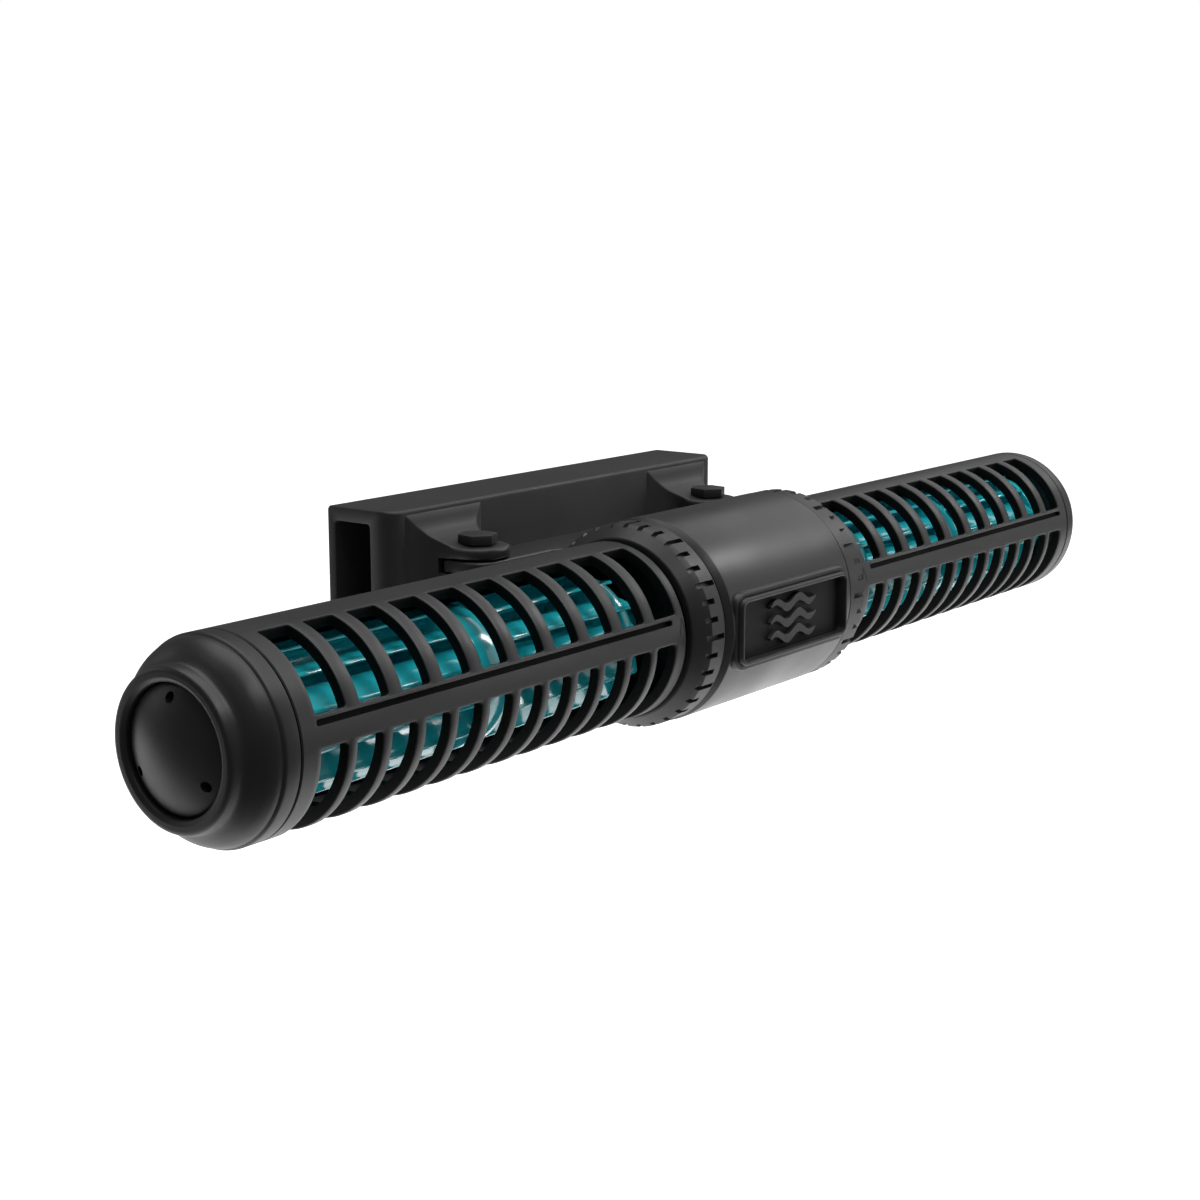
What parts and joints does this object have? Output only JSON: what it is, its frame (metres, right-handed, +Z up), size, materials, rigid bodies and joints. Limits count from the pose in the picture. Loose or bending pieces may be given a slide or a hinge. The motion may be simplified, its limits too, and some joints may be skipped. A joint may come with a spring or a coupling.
{
  "type": "wave maker pump",
  "caption": "Cross-flow wave maker pump: a motor housing between two slotted cages with bladed impellers, on a box-shaped magnet bracket for an aquarium wall.",
  "frame": {"origin": "the middle of the flat back face of the bracket, which lies against the aquarium wall", "axes": "+X along the pump, +Y out of the bracket's back face into the wall, +Z up; the badge faces -Y"},
  "size_m": [0.3646, 0.0933, 0.053],
  "materials": {
    "black_plastic": "satin black",
    "cap_plastic": "matt black",
    "bracket_plastic": "matt black",
    "teal_plastic": "gloss, slightly see-through teal",
    "white_plastic": "smooth white",
    "rubber": "matt black",
    "steel": "brushed",
    "lamination": "oiled laminations",
    "copper_wire": "varnished copper",
    "magnet": "dark grey, ground"
  },
  "bodies": {
    "pump": {"motor_housing": "black_plastic", "badge_bezel": "black_plastic", "badge_emblem": "black_plastic", "mount_bracket": "bracket_plastic", "magnet_block": "magnet", "cable_gland": "rubber", "stator_core": "lamination", "motor_can": "black_plastic", "stator_coil_1": "copper_wire", "stator_coil_2": "copper_wire", "stator_coil_3": "copper_wire", "stator_coil_4": "copper_wire", "stator_coil_5": "copper_wire", "stator_coil_6": "copper_wire", "left_index_collar": "black_plastic", "left_bulkhead": "black_plastic", "left_inner_bearing": "white_plastic", "left_bolt": "bracket_plastic", "left_nut": "bracket_plastic", "right_index_collar": "black_plastic", "right_bulkhead": "black_plastic", "right_inner_bearing": "white_plastic", "right_bolt": "bracket_plastic", "right_nut": "bracket_plastic"},
    "left_cage_body": {"left_cage": "black_plastic", "left_cage_seal": "rubber", "left_end_cap": "cap_plastic", "left_cap_plate": "cap_plastic", "left_end_bearing": "white_plastic", "left_cap_screw_1": "steel", "left_cap_screw_2": "steel", "left_cap_screw_3": "steel"},
    "right_cage_body": {"right_cage": "black_plastic", "right_cage_seal": "rubber", "right_end_cap": "cap_plastic", "right_cap_plate": "cap_plastic", "right_end_bearing": "white_plastic", "right_cap_screw_1": "steel", "right_cap_screw_2": "steel", "right_cap_screw_3": "steel"},
    "rotor": {"drive_shaft": "steel", "magnet_rotor": "magnet", "left_thrust_washer": "rubber", "left_stub_axle": "steel", "left_impeller": "teal_plastic", "right_thrust_washer": "rubber", "right_stub_axle": "steel", "right_impeller": "teal_plastic"}
  },
  "joints": [
    {"name": "left_cage_turn", "type": "hinge", "parent": "pump", "child": "left_cage_body", "pos_m": [-0.1, -0.0666, -0.0046], "axis": [1, 0, 0], "range_deg": [-90, 90]},
    {"name": "right_cage_turn", "type": "hinge", "parent": "pump", "child": "right_cage_body", "pos_m": [0.1, -0.0666, -0.0046], "axis": [1, 0, 0], "range_deg": [-90, 90]},
    {"name": "rotor_spin", "type": "hinge", "parent": "pump", "child": "rotor", "pos_m": [0, -0.0666, -0.0046], "axis": [1, 0, 0], "continuous": true}
  ]
}
